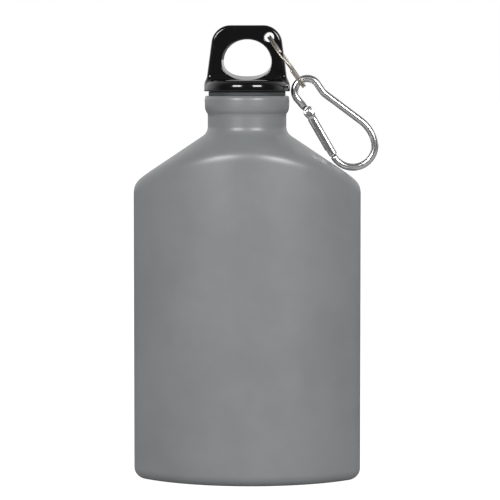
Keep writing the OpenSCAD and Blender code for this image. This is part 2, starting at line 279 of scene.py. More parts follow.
def paint_finish(s):
    """A baked matte coat: faint clouding, a fine peel and slightly polished high spots."""
    f = Finish("baked_matte_coat")
    clouds = f.noise(scale=26.0, detail=3.0, roughness=0.55)
    patches = f.noise(scale=95.0, detail=4.0, roughness=0.6)
    grain = f.noise(scale=2600.0, detail=2.0, roughness=0.6)
    peel = f.noise(scale=900.0, detail=2.0, roughness=0.5)
    level = clouds * 0.55 + patches * 0.3 + grain * 0.15
    return f.shade({
        "Base Color": f.tones(s.paint, level, low=0.36, high=0.64, dark=0.945, bright=1.055),
        "Roughness": 0.30 + patches * 0.07 + grain * 0.05,
        "IOR": 1.75,
        "Normal": f.bump(peel * 0.7 + grain * 0.3, strength=0.16, distance=0.05 * MM)})


def turned_finish(metal):
    """Turned aluminium, with fine marks that run round its axis."""
    f = Finish("turned_aluminium")
    marks = f.noise(scale=2200.0, detail=4.0, roughness=0.65, stretch=(1.0, 1.0, 9.0))
    cloud = f.noise(scale=260.0, detail=3.0, roughness=0.5)
    return f.shade({
        "Base Color": f.tones(metal, marks * 0.6 + cloud * 0.4, low=0.35, high=0.65,
                              dark=0.93, bright=1.0),
        "Metallic": 1.0,
        "Roughness": 0.14 + marks * 0.08 + cloud * 0.06,
        "Normal": f.bump(marks, strength=0.08, distance=0.01 * MM)})


def tumbled_finish(name, metal):
    """Barrel-polished aluminium with a soft shine and a few dull clouds."""
    f = Finish(name)
    cloud = f.noise(scale=300.0, detail=3.0, roughness=0.5)
    grain = f.noise(scale=5200.0, detail=2.0, roughness=0.5)
    return f.shade({
        "Base Color": f.tones(metal, cloud, low=0.35, high=0.65, dark=0.95, bright=1.0),
        "Metallic": 1.0,
        "Roughness": 0.19 + cloud * 0.05 + grain * 0.03,
        "Normal": f.bump(grain, strength=0.04, distance=0.005 * MM)})


def plastic_finish(name, plastic, gloss):
    """Moulded plastic, with faint flow marks and hairline rubs in its gloss."""
    f = Finish(name)
    flow = f.noise(scale=120.0, detail=3.0, roughness=0.5, stretch=(1.0, 1.0, 2.2))
    rubs = f.noise(scale=700.0, detail=5.0, roughness=0.7, stretch=(1.0, 1.0, 0.12))
    peel = f.noise(scale=420.0, detail=2.0, roughness=0.5)
    return f.shade({
        "Base Color": f.tones(plastic, flow, low=0.3, high=0.7, dark=0.9, bright=1.15),
        "Roughness": gloss + flow * 0.05 + f.eased(rubs, 0.58, 0.72) * 0.10,
        "IOR": 1.72,
        "Normal": f.bump(peel, strength=0.05, distance=0.04 * MM)})


def rubber_finish(rubber):
    """Matte silicone rubber, with a trace of dust in its pores."""
    f = Finish("washer_silicone")
    pores = f.noise(scale=1500.0, detail=3.0, roughness=0.6)
    dust = f.noise(scale=160.0, detail=4.0, roughness=0.6)
    return f.shade({
        "Base Color": f.tones(rubber, dust, low=0.45, high=0.7, dark=0.92, bright=1.25),
        "Roughness": 0.52 + dust * 0.16,
        "Normal": f.bump(pores, strength=0.2, distance=0.05 * MM)})


def nickel_finish(nickel):
    """Nickel plate over drawn wire, a little dulled where the turns rub."""
    f = Finish("nickel_plate")
    drawn = f.noise(scale=700.0, detail=4.0, roughness=0.6)
    rubbed = f.noise(scale=240.0, detail=3.0, roughness=0.6)
    return f.shade({
        "Base Color": f.tones(nickel, rubbed, low=0.4, high=0.65, dark=0.82, bright=1.08),
        "Metallic": 1.0,
        "Roughness": 0.36 + rubbed * 0.12,
        "Normal": f.bump(drawn, strength=0.12, distance=0.03 * MM)})


def steel_finish(steel):
    """Plain steel of the rivet, the spring and the plunger."""
    f = Finish("rivet_steel")
    marks = f.noise(scale=1100.0, detail=4.0, roughness=0.6)
    return f.shade({
        "Base Color": f.tones(steel, marks, low=0.35, high=0.7, dark=0.85, bright=1.0),
        "Metallic": 1.0,
        "Roughness": 0.24 + marks * 0.14,
        "Normal": f.bump(marks, strength=0.12, distance=0.02 * MM)})


# ---- Geometry Nodes ----

def new_tree(name, inputs):
    """A Geometry Nodes tree with named inputs, and a geometry going in and out."""
    tree = bpy.data.node_groups.new(name, "GeometryNodeTree")
    tree.interface.new_socket("Geometry", in_out="INPUT", socket_type="NodeSocketGeometry")
    for label, kind in inputs:
        tree.interface.new_socket(label, in_out="INPUT", socket_type="NodeSocket" + kind)
    tree.interface.new_socket("Geometry", in_out="OUTPUT", socket_type="NodeSocketGeometry")
    graph = Graph(tree)
    return graph, graph.node("NodeGroupInput")


def close_tree(graph, geometry, material):
    """Ends a tree in smooth faces, real geometry and its material."""
    smooth = graph.node("GeometryNodeSetShadeSmooth", None, {"Geometry": geometry})
    real = graph.node("GeometryNodeRealizeInstances", None, {"Geometry": smooth})
    painted = graph.node("GeometryNodeSetMaterial", None,
                         {"Geometry": real, "Material": material})
    graph.node("NodeGroupOutput", None, {"Geometry": painted})


def grown(name, tree, values, mesh=None):
    """Runs a tree on a mesh and returns an object that holds the plain mesh it makes."""
    host = bpy.data.objects.new(name, mesh or bpy.data.meshes.new(name + "_seed"))
    bpy.context.scene.collection.objects.link(host)
    modifier = host.modifiers.new("grow", "NODES")
    modifier.node_group = tree
    sockets = {item.name: item.identifier for item in tree.interface.items_tree
               if item.in_out == "INPUT"}
    for label, value in values.items():
        modifier[sockets[label]] = value
    depsgraph = bpy.context.evaluated_depsgraph_get()
    made = bpy.data.meshes.new_from_object(host.evaluated_get(depsgraph), depsgraph=depsgraph)
    host.modifiers.remove(modifier)
    host.data = made
    made.name = name
    return turned_outward(host)


def section_tree():
    """Wraps a profile round the lens section: two wide arcs joined by two edge arcs.

    Each point of the profile line gives one row. Its x is the reach of the shoulder, the
    neck or the collar at that height, its y is how far the row is drawn in from the outside,
    and its z is the height. The attribute "share" shrinks a row towards the axis.
    """
    graph, given = new_tree("lens_section", [
        ("Columns", "Int"), ("Half width", "Float"), ("Half depth", "Float"),
        ("Edge radius", "Float"), ("Crease", "Float"), ("Material", "Material")])
    profile = given.out("Geometry")
    columns = given.out("Columns")
    edge_r = given.out("Edge radius")
    half_d = given.out("Half depth")
    edge_x = given.out("Half width") - edge_r
    face_r = (edge_x * edge_x + half_d * half_d - edge_r * edge_r) / ((half_d - edge_r) * 2.0)
    face_y = face_r - half_d
    rows = graph.node("GeometryNodeAttributeDomainSize", {"component": "MESH"},
                      {"Geometry": profile})
    grid = graph.node("GeometryNodeMeshGrid", None,
                      {"Vertices X": columns + 1.0, "Vertices Y": rows})
    index = graph.node("GeometryNodeInputIndex")
    row = graph.maths("MODULO", index, rows)
    column = graph.maths("FLOOR", index / rows)

    def sampled(kind, value):
        return graph.node("GeometryNodeSampleIndex", {"data_type": kind},
                          {"Geometry": profile, "Value": value, "Index": row})

    place = graph.node("ShaderNodeSeparateXYZ", None,
                       {0: sampled("FLOAT_VECTOR", graph.node("GeometryNodeInputPosition"))})
    inset = place.out("Y")
    part = sampled("FLOAT", graph.node("GeometryNodeInputNamedAttribute",
                                       {"data_type": "FLOAT"}, {"Name": "share"}))
    # The columns stand closer together round the tight edges
    crowding = 0.3
    even = column * (2.0 * math.pi) / columns
    angle = even - graph.maths("SINE", even * 2.0) * crowding
    across = graph.maths("ABSOLUTE", graph.maths("COSINE", angle))
    through = graph.maths("ABSOLUTE", graph.maths("SINE", angle))

    def reach(centre, along, off, radius):
        """Distance from the axis to a circle whose centre lies off along one direction."""
        square = radius * radius - (centre * off) * (centre * off)
        return centre * along + graph.maths("SQRT", graph.maths("MAXIMUM", square, 0.0))

    edge = reach(edge_x, across, through, edge_r - inset)
    face = reach(face_y * -1.0, through, across, face_r - inset)
    # The two arcs touch on the line through their centres
    touch = graph.maths("ARCTAN2", face_y, edge_x)
    touch_x = edge_x + (edge_r - inset) * graph.maths("COSINE", touch)
    touch_y = (edge_r - inset) * graph.maths("SINE", touch)
    past = graph.maths("GREATER_THAN", through * touch_x, across * touch_y)
    lens = edge + (face - edge) * past
    out = graph.maths("SMOOTH_MIN", lens, place.out("X"), given.out("Crease")) * part
    moved = graph.node("ShaderNodeCombineXYZ", None,
                       {"X": out * graph.maths("COSINE", angle),
                        "Y": out * graph.maths("SINE", angle), "Z": place.out("Z")})
    wrapped = graph.node("GeometryNodeSetPosition", None,
                         {"Geometry": grid, "Position": moved})
    sewn = graph.node("GeometryNodeMergeByDistance", None,
                      {"Geometry": wrapped, "Distance": 0.002 * MM})
    close_tree(graph, sewn, given.out("Material"))
    return graph.tree


def wound_bar():
    """Winds a rounded bar round the Z axis, as a helix or with one sideways crossing.

    The bar's profile goes from its foot to its crest, and may fade out at both ends.
    """
    lengths = ("Radius", "Start", "Sweep", "Rise", "Crossing", "Cross from", "Cross to", "Width",
               "Thickness", "Round", "Foot", "Crest shift", "Fade")
    graph, given = new_tree("wound_bar", [
        ("Points", "Int"), *((label, "Float") for label in lengths), ("Material", "Material")])
    count = given.out("Points")
    line = graph.node("GeometryNodeMeshLine", None, {"Count": count})
    along = graph.node("GeometryNodeInputIndex") / (count - 1.0)
    angle = given.out("Start") + given.out("Sweep") * along
    crossing = graph.eased(angle, given.out("Cross from"), given.out("Cross to"))
    height = given.out("Rise") * along + given.out("Crossing") * (crossing - 0.5)
    place = graph.node("ShaderNodeCombineXYZ", None,
                       {"X": given.out("Radius") * graph.maths("COSINE", angle),
                        "Y": given.out("Radius") * graph.maths("SINE", angle), "Z": height})
    path = graph.node("GeometryNodeSetPosition", None,
                      {"Geometry": graph.node("GeometryNodeMeshToCurve", None, {"Mesh": line}),
                       "Position": place})
    upright = graph.node("GeometryNodeSetCurveNormal", {"mode": "Z_UP"}, {"Curve": path})
    half_w = given.out("Width") * 0.5
    foot = given.out("Foot") * 0.5
    crest = given.out("Thickness") * 0.5
    shift = given.out("Crest shift")

    def corner(x, y):
        return graph.node("ShaderNodeCombineXYZ", None, {"X": x, "Y": y})

    outline = graph.node("GeometryNodeCurvePrimitiveQuadrilateral", {"mode": "POINTS"},
                         {"Point 1": corner(shift - half_w, foot),
                          "Point 2": corner(shift - half_w, foot * -1.0),
                          "Point 3": corner(shift + half_w, crest * -1.0),
                          "Point 4": corner(shift + half_w, crest)})
    rounded = graph.node("GeometryNodeFilletCurve", {"mode": "POLY"},
                         {"Curve": outline, "Radius": given.out("Round"), "Count": 4,
                          "Limit Radius": True})
    fade = given.out("Fade")
    ends = graph.maths("MINIMUM", along / fade, (1.0 - along) / fade)
    tip = 0.02
    thin = graph.maths("MAXIMUM", graph.maths("MINIMUM", ends, 1.0), tip)
    swept = graph.node("GeometryNodeCurveToMesh", None,
                       {"Curve": upright, "Profile Curve": rounded, "Scale": thin,
                        "Fill Caps": True})
    close_tree(graph, swept, given.out("Material"))
    return graph.tree


def wound(name, values, material):
    """A wound bar. What isn't given makes it level, upright and the same from end to end."""
    plain = {"Start": 0.0, "Rise": 0.0, "Crossing": 0.0, "Cross from": 0.0, "Cross to": 1.0,
             "Crest shift": 0.0, "Fade": 0.0005}
    return grown(name, wound_bar(), {**plain, **values, "Material": material})


# ---- Mesh making ----

def new_piece(name, points, faces, material, normals=None):
    """An object at the origin with a smooth mesh, right side out."""
    mesh = bpy.data.meshes.new(name)
    mesh.from_pydata([tuple(p) for p in points], [], [tuple(int(i) for i in f) for f in faces])
    mesh.validate()
    mesh.shade_smooth()
    if normals is not None:
        mesh.normals_split_custom_set_from_vertices([tuple(n) for n in normals])
    mesh.materials.append(material)
    made = bpy.data.objects.new(name, mesh)
    bpy.context.scene.collection.objects.link(made)
    return turned_outward(made)


def joined(name, parts, material):
    """One piece from several, which are used up."""
    points, faces = [], []
    for part in parts:
        start = len(points)
        points += [tuple(v.co) for v in part.data.vertices]
        faces += [tuple(start + i for i in p.vertices) for p in part.data.polygons]
        bpy.data.objects.remove(part)
    return new_piece(name, points, faces, material)


def mesh_points(made):
    """A mesh's points as an array."""
    co = np.empty(len(made.data.vertices) * 3)
    made.data.vertices.foreach_get("co", co)
    return co.reshape(-1, 3)


def moved(made, place):
    """Puts each of a mesh's points where a function of all the points says."""
    made.data.vertices.foreach_set("co", place(mesh_points(made)).ravel())
    made.data.update()
    return made


def turned_outward(made):
    """Turns a mesh right side out if its volume comes out below nothing."""
    mesh = made.data
    co = mesh_points(made)
    mesh.calc_loop_triangles()
    corners = np.empty(len(mesh.loop_triangles) * 3, int)
    mesh.loop_triangles.foreach_get("vertices", corners)
    a, b, c = (co[corners.reshape(-1, 3)[:, k]] for k in range(3))
    if np.einsum("ij,ij->i", a, np.cross(b, c)).sum() < 0:
        mesh.flip_normals()
    return made


def sewn(made):
    """Merges a mesh's points that lie on each other."""
    work = bmesh.new()
    work.from_mesh(made.data)
    bmesh.ops.remove_doubles(work, verts=work.verts, dist=0.001 * MM)
    bmesh.ops.dissolve_degenerate(work, edges=work.edges, dist=0.0005 * MM)
    bmesh.ops.recalc_face_normals(work, faces=work.faces)
    work.to_mesh(made.data)
    work.free()
    return turned_outward(made)


def lathe(name, outline, material, steps=144):
    """Turns a closed outline of (radius, height) about the Z axis. Points on the axis are poles."""
    points, rings, faces = [], [], []
    for r, z in outline:
        if r < 1e-9:
            rings.append([len(points)] * steps)
            points.append((0.0, 0.0, z))
            continue
        rings.append(range(len(points), len(points) + steps))
        points += [(r * math.cos(2 * math.pi * k / steps), r * math.sin(2 * math.pi * k / steps), z)
                   for k in range(steps)]
    for one, other in zip(rings, rings[1:] + rings[:1]):
        if one[0] == one[1] and other[0] == other[1]:
            continue
        for k in range(steps):
            quad = (one[k], one[(k + 1) % steps], other[(k + 1) % steps], other[k])
            faces.append(tuple(dict.fromkeys(quad)))
    return new_piece(name, points, faces, material)


def bow(centre, r, start, end, steps):
    """Points (x, y) on an arc, with its angles in degrees."""
    angles = [math.radians(start + (end - start) * i / steps) for i in range(steps + 1)]
    return [(centre[0] + r * math.cos(a), centre[1] + r * math.sin(a)) for a in angles]


def rounded_outline(corners, steps=4):
    """An outline from (x, y, rounding) corners, each turned by a short arc."""
    outline = []
    for i, (x, y, r) in enumerate(corners):
        here = Vector((x, y))
        before = Vector(corners[i - 1][:2]) - here
        after = Vector(corners[(i + 1) % len(corners)][:2]) - here
        if r < 1e-9:
            outline.append((x, y))
            continue
        half = before.angle(after) / 2
        cut = r / math.tan(half)
        middle = here + (before.normalized() + after.normalized()).normalized() * r / math.sin(half)
        first = (here + before.normalized() * cut - middle).normalized()
        last = (here + after.normalized() * cut - middle).normalized()
        for k in range(steps + 1):
            outline.append(tuple(middle + first.slerp(last, k / steps) * r))
    return outline


# ---- Solids drawn as distance fields ----

def meet(one, other, r):
    """Where two distance fields overlap, with their shared edge rounded."""
    return (np.hypot(np.maximum(one + r, 0), np.maximum(other + r, 0))
            + np.minimum(np.maximum(one + r, other + r), 0) - r)


def merge(one, other, r):
    """Two distance fields together, with a hollow of radius r where they join."""
    return -meet(-one, -other, r)


def egg(x, z, half_w, up, down, power):
    """Distance from an outline that is an ellipse above its widest line and fuller below it."""
    height = np.where(z > 0, up, down)
    bend = np.where(z > 0, 2.0, power)

    def value(px, pz):
        return (np.abs(px / half_w) ** bend + np.abs(pz / height) ** bend) ** (1 / bend)

    step = 0.01 * MM
    here = value(x, z)
    slope = np.hypot(value(np.abs(x) + step, z) - here, value(x, np.abs(z) + step) - here) / step
    return (here - 1) / np.maximum(slope, 1 / (2 * half_w))


def skin(field, low, high, cell):
    """Points, faces and normals of the surface where a distance field is zero.

    The points start in the middle of the crossings of each cell that the surface passes
    through, and are then moved onto the surface itself.
    """
    axes = [np.arange(a, b + cell, cell) for a, b in zip(low, high)]
    value = field(*np.meshgrid(*axes, indexing="ij"))
    shape = np.array(value.shape)
    total = np.zeros((*(shape - 1), 3))
    hits = np.zeros(shape - 1)
    crossings = []
    for axis in range(3):
        ends = [slice(None)] * 3
        starts = [slice(None)] * 3
        starts[axis], ends[axis] = slice(0, -1), slice(1, None)
        one, other = value[tuple(starts)], value[tuple(ends)]
        crossed = (one < 0) != (other < 0)
        crossings.append((crossed, one < 0))
        where = np.argwhere(crossed)
        part = one[crossed] / (one[crossed] - other[crossed])
        at = where.astype(float)
        at[:, axis] += part
        sides = [k for k in range(3) if k != axis]
        for back in ((0, 0), (0, 1), (1, 0), (1, 1)):
            cells = where.copy()
            cells[:, sides[0]] -= back[0]
            cells[:, sides[1]] -= back[1]
            fits = ((cells >= 0) & (cells < shape - 1)).all(1)
            index = tuple(cells[fits].T)
            np.add.at(hits, index, 1)
            np.add.at(total, index, at[fits])
    used = hits > 0
    number = np.full(shape - 1, -1)
    number[used] = np.arange(used.sum())
    points = total[used] / hits[used][:, None] * cell + np.array([a[0] for a in axes])
    faces = []
    for axis, (crossed, inside) in enumerate(crossings):
        sides = [k for k in range(3) if k != axis]
        where = np.argwhere(crossed)
        fits = (where[:, sides] > 0).all(1) & (where[:, sides] < (shape - 1)[sides]).all(1)
        where, leaving = where[fits], inside[crossed][fits]
        quad = []
        for back in ((0, 0), (1, 0), (1, 1), (0, 1)):
            cells = where.copy()
            cells[:, sides[0]] -= back[0]
            cells[:, sides[1]] -= back[1]
            quad.append(number[tuple(cells.T)])
        quad = np.stack(quad, 1)
        forward = leaving if axis != 1 else ~leaving
        quad[~forward] = quad[~forward][:, ::-1]
        faces.append(quad)
    points, normals = settled(field, points, cell)
    return points, np.concatenate(faces), normals


def settled(field, points, cell):
    """Points moved onto the surface of a distance field, and the surface's normals there."""
    step = 0.02 * cell

    def slope(p):
        return np.stack([(field(*(p + step * e).T) - field(*(p - step * e).T)) / (2 * step)
                         for e in np.eye(3)], 1)

    start = points.copy()
    for _ in range(4):
        grade = slope(points)
        move = -field(*points.T)[:, None] * grade / np.maximum((grade ** 2).sum(1), 0.1)[:, None]
        points = start + np.clip(points + move - start, -0.6 * cell, 0.6 * cell)
    grade = slope(points)
    return points, grade / np.maximum(np.linalg.norm(grade, axis=1), 1e-6)[:, None]


# ---- Flask ----

def shell_rows(s):
    """Rows (reach, inset, height, share) from under the base to the rim and back down inside."""
    far = 1.0
    crease_low = 118 * MM
    fall = math.tan(s.shoulder_fall)
    skew = math.cos(s.shoulder_fall)
    rim_z = SHELL_HIGH.z

    def cone_z(r, inset=0.0):
        return s.shoulder_z + (s.half_width - r) * fall - inset / skew

    def cone_r(z, inset=0.0):
        return s.half_width - (z + inset / skew - s.shoulder_z) / fall

    def heights(start, end, step):
        count = max(1, round(abs(end - start) / step))
        return [start + (end - start) * i / count for i in range(count + 1)]

    def dish_z(part):
        """The dish's height, which eases in from 0.92 to 0.80 of the section."""
        edge = min(1.0, max(0.0, (0.92 - part) / 0.12))
        return s.dish * edge * edge * (3 - 2 * edge)

    hollow = (s.neck_r + s.hollow_r, cone_z(s.neck_r + s.hollow_r) + s.hollow_r / skew)
    low_angle = 270 - math.degrees(s.shoulder_fall)
    # Underside, with a shallow dish inside the ring that it stands on
    rows = [(far, s.base_r, dish_z(part), part)
             for part in (0.0, 0.3, 0.6, 0.78, 0.82, 0.86, 0.90, 0.94, 0.97)]
    for i in range(13):
        a = math.radians(90 * i / 12)
        rows.append((far, s.base_r * (1 - math.sin(a)), s.base_r * (1 - math.cos(a)), 1.0))
    rows += [(cone_r(z), 0.0, z, 1.0) for z in heights(s.base_r, crease_low, 8 * MM)[1:]]
    hollow_low = hollow[1] + s.hollow_r * math.sin(math.radians(low_angle))
    rows += [(cone_r(z), 0.0, z, 1.0) for z in heights(crease_low, hollow_low, 0.5 * MM)[1:-1]]
    rows += [(r, 0.0, z, 1.0) for r, z in bow(hollow, s.hollow_r, low_angle, 180, 14)]
    swell_z = rim_z - 8.1 * MM
    full_z = rim_z - 1.7 * MM
    rows += [(s.neck_r, 0.0, z, 1.0) for z in heights(hollow[1], swell_z, 1.2 * MM)[1:]]
    # The collar swells quickly out of the neck and then runs nearly straight up
    softness, haste = 0.04, 5
    for i in range(1, 21):
        t = i / 20
        late = t * t / (t + softness)
        grown_r = s.neck_r + (s.collar_r - s.neck_r) * (1 - (1 - late) ** haste)
        rows.append((grown_r, 0.0, swell_z + (full_z - swell_z) * t, 1.0))
    lip_r, lip_in = rim_z - full_z, 0.7
    rows += [(r, 0.0, z, 1.0)
             for r, z in bow((s.collar_r - lip_r * lip_in, full_z), lip_r, 0, 90, 8)[1:]
             if r < s.collar_r + 1e-6]
    # The mouth and the inside
    mouth_r, mouth_edge = s.neck_r - s.wall, 0.3 * MM
    rows += [(r, 0.0, z, 1.0)
             for r, z in bow((mouth_r + mouth_edge, rim_z - mouth_edge), mouth_edge, 90, 180, 4)]
    rows += [(mouth_r, s.wall, z, 1.0) for z in heights(rim_z - 1 * MM, hollow[1], 2 * MM)]
    rows += [(r, s.wall, z, 1.0)
             for r, z in bow(hollow, s.hollow_r + s.wall, 180, low_angle, 10)[1:]]
    inner_low = rows[-1][2]
    rows += [(cone_r(z, s.wall), s.wall, z, 1.0) for z in heights(inner_low, crease_low, 1 * MM)[1:]]
    rows += [(cone_r(z, s.wall), s.wall, z, 1.0)
             for z in heights(crease_low, s.base_r, 14 * MM)[1:-1]]
    round_r = s.base_r - s.wall
    for i in range(9):
        a = math.radians(90 * (1 - i / 8))
        rows.append((far, s.wall + round_r * (1 - math.sin(a)),
                     s.wall + round_r * (1 - math.cos(a)), 1.0))
    rows += [(far, s.base_r, s.wall + dish_z(part), part)
             for part in (0.94, 0.90, 0.86, 0.82, 0.78, 0.5, 0.25, 0.0)]
    return rows


def make_shell(s, tree, material):
    """The drawn shell, wrapped round the lens section."""
    rows = shell_rows(s)
    line = bpy.data.meshes.new("shell_profile")
    line.from_pydata([row[:3] for row in rows], [(i, i + 1) for i in range(len(rows) - 1)], [])
    shares = line.attributes.new("share", "FLOAT", "POINT")
    shares.data.foreach_set("value", [row[3] for row in rows])
    return grown("drawn_shell", tree, {
        "Columns": s.columns, "Half width": s.half_width, "Half depth": s.half_depth,
        "Edge radius": s.edge_r, "Crease": s.crease, "Material": material}, line)


class FLASK_OT_shell(bpy.types.Operator):
    """Builds the drawn aluminium shell with its shoulders, neck and collar"""
    bl_idname = "flask.shell"
    bl_label = "Drawn shell"

    def execute(self, context):
        s = context.scene.flask_shell
        shell = make_shell(s, section_tree(), paint_finish(s))
        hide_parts("flask_body")
        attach(shell, "flask")
        return {"FINISHED"}


# ---- Screw thread and plug ----

def thread_bar(name, pitch, low_z, radius, turns, foot, crest, inward, material):
    """A trapezoid ridge that winds up from a height and fades out at both ends."""
    width = 1.2 * MM
    sign = -1.0 if inward else 1.0
    bar = wound(name, {
        "Points": round(turns * 60), "Radius": radius, "Sweep": 2 * math.pi * turns,
        "Rise": pitch * turns, "Width": width, "Thickness": crest, "Round": 0.2 * MM,
        "Foot": foot, "Crest shift": sign * width / 2 * 0.9, "Fade": 0.09}, material)
    bar.data.transform(Matrix.Translation((0, 0, low_z)))
    return bar


class FLASK_OT_thread_ring(bpy.types.Operator):
    """Builds the threaded aluminium ring that is fixed in the neck"""
    bl_idname = "flask.thread_ring"
    bl_label = "Neck thread ring"

    def execute(self, context):
        t = context.scene.flask_thread
        metal = turned_finish(t.metal)
        thread_h, margin = 1.5 * MM, 1.6 * MM
        root_r = t.plug_r + thread_h
        low, high, outer_r = INSERT_LOW.z, INSERT_HIGH.z, INSERT_HIGH.x
        sleeve = lathe("thread_sleeve", rounded_outline([
            (outer_r, low, 0.2 * MM), (outer_r, high, 0.2 * MM),
            (root_r, high, 0.5 * MM), (root_r, low, 0.5 * MM)]), metal)
        turns = (high - low - 2 * margin) / t.pitch
        ridge = thread_bar("thread_land", t.pitch, low + margin, root_r, turns, 2 * MM,
                           1.1 * MM, True, metal)
        ring = joined("neck_thread_ring", [sleeve, ridge], metal)
        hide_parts("neck_insert")
        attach(ring, "flask")
        return {"FINISHED"}


class FLASK_OT_plug(bpy.types.Operator):
    """Builds the hollow threaded plug and the disc that closes it"""
    bl_idname = "flask.plug"
    bl_label = "Threaded plug"

    def execute(self, context):
        t = context.scene.flask_thread
        plastic = plastic_finish("plug_moulding", context.scene.flask_stopper.plastic, 0.34)
        low, high = PLUG_LOW.z, PLUG_HIGH.z
        wall, disc_t, turns = 2 * MM, 1.5 * MM, 2.1
        bore_r = t.plug_r - wall
        tube = lathe("plug_tube", rounded_outline([
            (0.0, high, 0.0), (t.plug_r, high, 0.0), (t.plug_r, low, 0.5 * MM),
            (bore_r, low, 0.3 * MM), (bore_r, high - wall, 0.3 * MM), (0.0, high - wall, 0.0)]),
            plastic)
        ridge = thread_bar("plug_ridge", t.pitch, t.low_z, t.plug_r, turns, 2.4 * MM,
                           1.0 * MM, False, plastic)
        plug = joined("threaded_plug", [tube, ridge], plastic)
        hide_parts("stopper_plug")
        disc = lathe("closing_disc", rounded_outline([
            (0.0, low, 0.0), (bore_r, low, 0.25 * MM), (bore_r, low + disc_t, 0.1 * MM),
            (0.0, low + disc_t, 0.0)]), plastic)
        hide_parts("plug_disc")
        for piece in (plug, disc):
            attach(piece, "stopper")
        return {"FINISHED"}


# ---- Stopper ----

class FLASK_OT_washer(bpy.types.Operator):
    """Builds the sealing washer"""
    bl_idname = "flask.washer"
    bl_label = "Sealing washer"

    def execute(self, context):
        low, high, outer_r = WASHER_LOW.z, WASHER_HIGH.z, WASHER_HIGH.x
        gap = 0.15 * MM
        inner_r = context.scene.flask_thread.plug_r + gap
        washer = lathe("rubber_washer", rounded_outline([
            (outer_r, low, 0.35 * MM), (outer_r, high, 0.35 * MM),
            (inner_r, high, 0.2 * MM), (inner_r, low, 0.2 * MM)]),
            rubber_finish(context.scene.flask_stopper.rubber))
        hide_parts("sealing_washer")
        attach(washer, "washer")
        return {"FINISHED"}


def cap_field(s):
    """The cap's distance field: a round skirt and a flat loop, with their two holes."""
    low_z, top_z = CAP_LOW.z, CAP_HIGH.z
    skirt_z = low_z + s.skirt_h
    half_t = s.loop_t / 2
    hole = PIVOTS["ring_swing"]
    finger_z = top_z - 15.6 * MM
    # The socket holds the plug's plain end, so the thread's height comes off the plug's box
    thread_h = 1.15 * MM
    plug_r = PLUG_HIGH.x - thread_h
    socket_z = PLUG_HIGH.z
    side_in, bottom_in, fullness = 0.6 * MM, 1.6 * MM, 2.3
    rim_edge, finger_edge, ring_edge = 0.5 * MM, 0.35 * MM, 0.2 * MM
    foot_edge, socket_edge = 0.4 * MM, 0.1 * MM

    def field(x, y, z):
        spread = np.hypot(x, y)
        skirt = meet(spread - s.skirt_r, z - skirt_z, s.skirt_round)
        side = (np.abs(x) - s.loop_foot + (z - skirt_z) * math.tan(s.loop_lean)) \
            * math.cos(s.loop_lean)
        loop = meet(meet(side, z - top_z, s.corner_r), np.abs(y) - half_t, s.edge_round)
        solid = meet(merge(skirt, loop, s.foot_blend), spread - s.skirt_r, rim_edge)
        # The finger hole narrows towards the back, mostly at its bottom
        draft = np.clip(0.5 + y / (2 * half_t), 0, 1)
        finger = egg(x, z - finger_z, s.finger_w / 2 - side_in * draft, s.finger_up,
                     s.finger_down - bottom_in * draft, fullness)
        solid = meet(solid, -finger, finger_edge)
        solid = meet(solid, s.ring_hole_r - np.hypot(x - hole.x, z - hole.z), ring_edge)
        solid = meet(solid, low_z - z, foot_edge)
        socket = np.maximum(spread - plug_r, z - socket_z)
        return meet(solid, -socket, socket_edge)
    return field


class FLASK_OT_cap(bpy.types.Operator):
    """Builds the moulded screw cap with its finger loop"""
    bl_idname = "flask.cap"
    bl_label = "Screw cap"

    def execute(self, context):
        s = context.scene.flask_stopper
        room = Vector((1, 1, 1)) * 2 * s.cell
        points, faces, normals = skin(cap_field(s), CAP_LOW - room, CAP_HIGH + room, s.cell)
        cap = new_piece("loop_cap", points, faces,
                        plastic_finish("gloss_moulding", s.plastic, 0.08), normals)
        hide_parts("stopper_cap")
        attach(cap, "stopper")
        return {"FINISHED"}


# ---- Split ring ----

class FLASK_OT_split_ring(bpy.types.Operator):
    """Builds the split ring, two turns of flat wire with one crossing"""
    bl_idname = "flask.split_ring"
    bl_label = "Split ring"

    def execute(self, context):
        s = context.scene.flask_ring
        jog_from, jog_to = math.radians(325), math.radians(358)
        start = math.radians(270) - (jog_from + jog_to) / 2
        ring = wound("key_ring", {
            "Points": 240, "Radius": s.radius, "Start": start, "Sweep": jog_from + jog_to,
            "Crossing": s.wire_t + s.groove, "Cross from": start + jog_from,
            "Cross to": start + jog_to, "Width": s.wire_w, "Thickness": s.wire_t,
            "Round": 0.38 * MM, "Foot": s.wire_t}, nickel_finish(s.nickel))
        middle = (RING_LOW + RING_HIGH) / 2
        ring.data.transform(Matrix.Translation(middle) @ Matrix.Rotation(s.fall, 4, "Y"))
        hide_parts("split_ring")
        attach(ring, "ring")
        return {"FINISHED"}


# ---- Carabiner ----

def hung(s, points):
    """Points (x, y, z) of the carabiner's own plane, put where it hangs."""
    pivot = PIVOTS["carabiner_swing"]
    c, n = math.cos(s.fall), math.sin(s.fall)
    x, y, z = np.asarray(points, float).T
    return np.stack([pivot.x + x * c + y * n, pivot.y - z, pivot.z - x * n + y * c], 1)


def walk(centre, r, start, end, step=3.0):
    """Stations (x, y, heading) round an arc, in degrees, clockwise when it ends lower."""
    count = math.ceil(abs(end - start) / step)
    ahead = 90 if end > start else -90
    stations = []
    for i in range(count + 1):
        a = start + (end - start) * i / count
        stations.append((centre[0] + r * math.cos(math.radians(a)),
                         centre[1] + r * math.sin(math.radians(a)), math.radians(a + ahead)))
    return stations


HINGE = (7.4 * MM, -5.5 * MM)


def heading(degrees):
    """A unit vector in the carabiner's plane."""
    return Vector((math.cos(math.radians(degrees)), math.sin(math.radians(degrees))))


